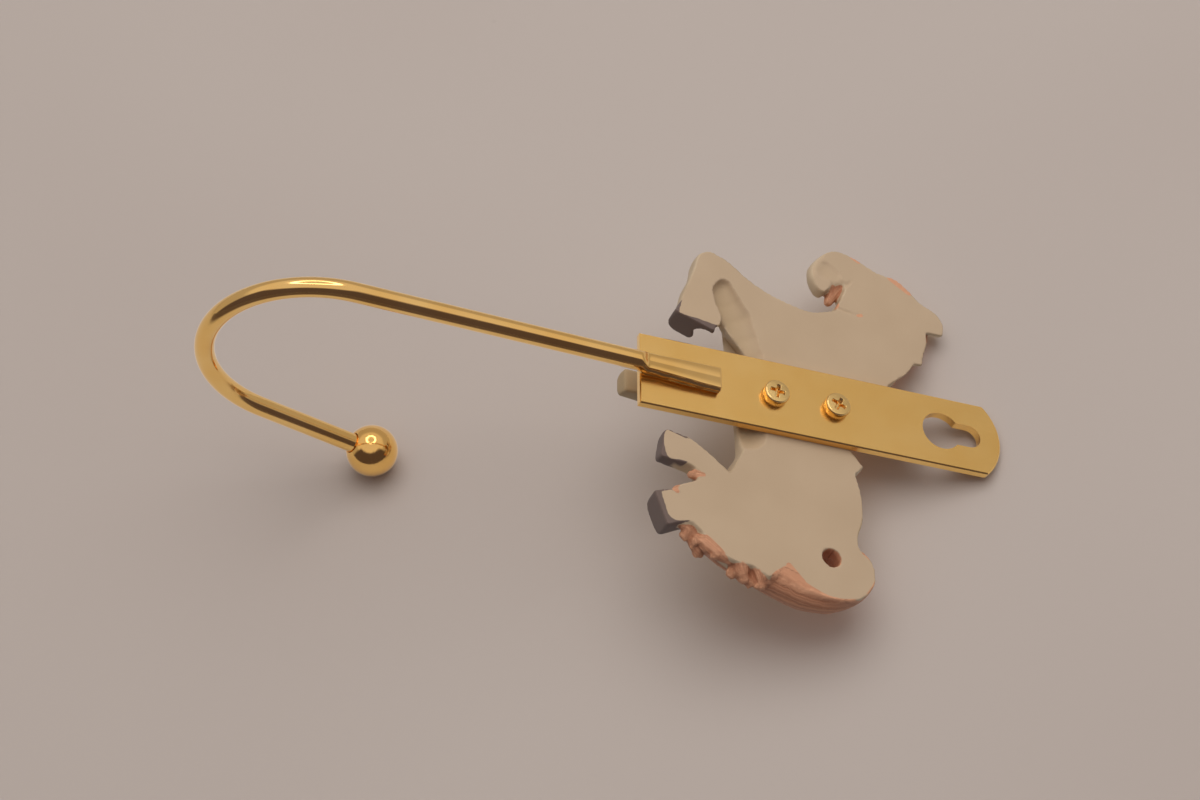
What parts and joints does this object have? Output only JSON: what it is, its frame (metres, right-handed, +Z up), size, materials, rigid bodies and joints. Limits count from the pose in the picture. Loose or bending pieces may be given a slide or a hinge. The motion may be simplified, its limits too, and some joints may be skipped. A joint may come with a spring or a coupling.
{
  "type": "figurine wall hook",
  "caption": "Wall hook: plated strip with a keyhole, long rod hook with a ball tip, and a cast resin prancing pony screwed to its front.",
  "frame": {"origin": "centre of the keyhole's round opening, on the plate's back face that lies on the wall", "axes": "+Z up as the hook hangs, +Y towards the wall, +X the way the pony faces"},
  "size_m": [0.104, 0.072, 0.1973],
  "materials": {
    "plated_plate": "bright brass plating on steel strip",
    "plated_rod": "bright brass plating on bent steel rod",
    "plated_ball": "bright brass plating on a turned ball",
    "screw": "pale brass plating on steel screws",
    "cast_resin": "cast resin, painted by hand, bare on its flat back"
  },
  "bodies": {
    "root": {"back_plate": "plated_plate", "hook_rod": "plated_rod", "ball_end": "plated_ball", "screw_lower": "screw", "screw_upper": "screw", "figurine": "cast_resin"}
  },
  "joints": []
}
